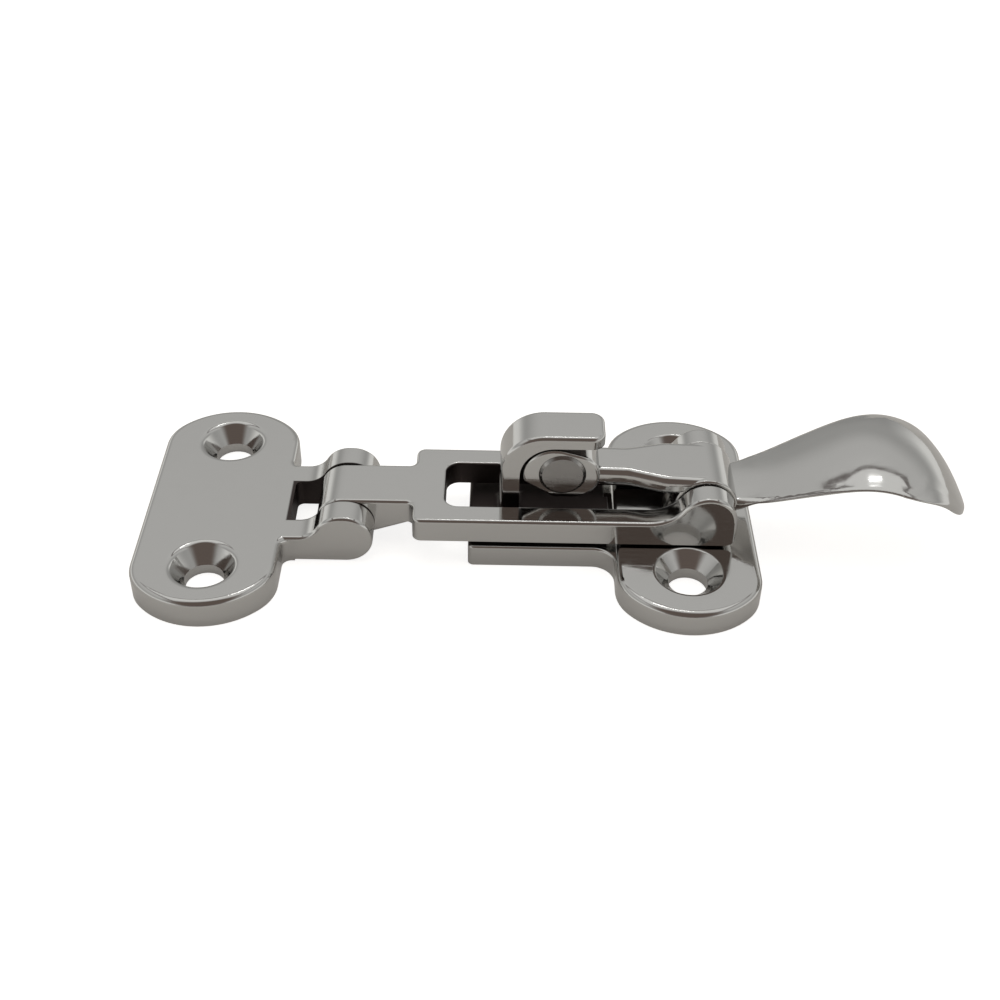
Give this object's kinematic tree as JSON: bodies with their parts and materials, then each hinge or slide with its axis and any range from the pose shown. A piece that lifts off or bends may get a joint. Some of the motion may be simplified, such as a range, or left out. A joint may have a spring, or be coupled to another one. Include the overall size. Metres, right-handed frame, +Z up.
{
  "type": "over centre toggle latch",
  "caption": "Cast over centre toggle latch: a hinged screw plate, a forked strap and a curved handle whose nose seats in a hook on a second screw plate.",
  "frame": {"origin": "middle of the base plate's two screw holes, on the mounting plane under both plates", "axes": "+X along the latch from the hinge plate to the handle, +Y along each row of screws, +Z up from the mounting plane"},
  "size_m": [0.1106, 0.0414, 0.0177],
  "materials": {
    "polished_casting": "mirror polished cast stainless steel",
    "pin_steel": "ground and polished stainless steel pin"
  },
  "bodies": {
    "base": {"base_plate": "polished_casting"},
    "nose": {"nose_pin": "pin_steel"},
    "handle": {"lever": "polished_casting"},
    "strap": {"strap": "polished_casting", "lever_pin": "pin_steel"},
    "hinge": {"hinge_plate": "polished_casting", "hinge_pin": "pin_steel"}
  },
  "joints": [
    {"name": "hook_travel", "type": "slide", "parent": "base", "child": "nose", "axis": [1, 0, 0], "range_m": [0, 0.006]},
    {"name": "lever_swing", "type": "hinge", "parent": "nose", "child": "handle", "pos_m": [-0.01665, 0, 0.01175], "axis": [0, -1, 0], "range_deg": [0, 30]},
    {"name": "strap_swing", "type": "hinge", "parent": "handle", "child": "strap", "pos_m": [0.0025, 0, 0.0078], "axis": [0, 1, 0], "range_deg": [0, 18]},
    {"name": "hinge_swing", "type": "hinge", "parent": "strap", "child": "hinge", "pos_m": [-0.0458, 0, 0.0037], "axis": [0, 1, 0], "range_deg": [-45, 135]}
  ],
  "couplings": [
    {"joint": "strap_swing", "follows": "lever_swing", "ratio": 0.593}
  ]
}
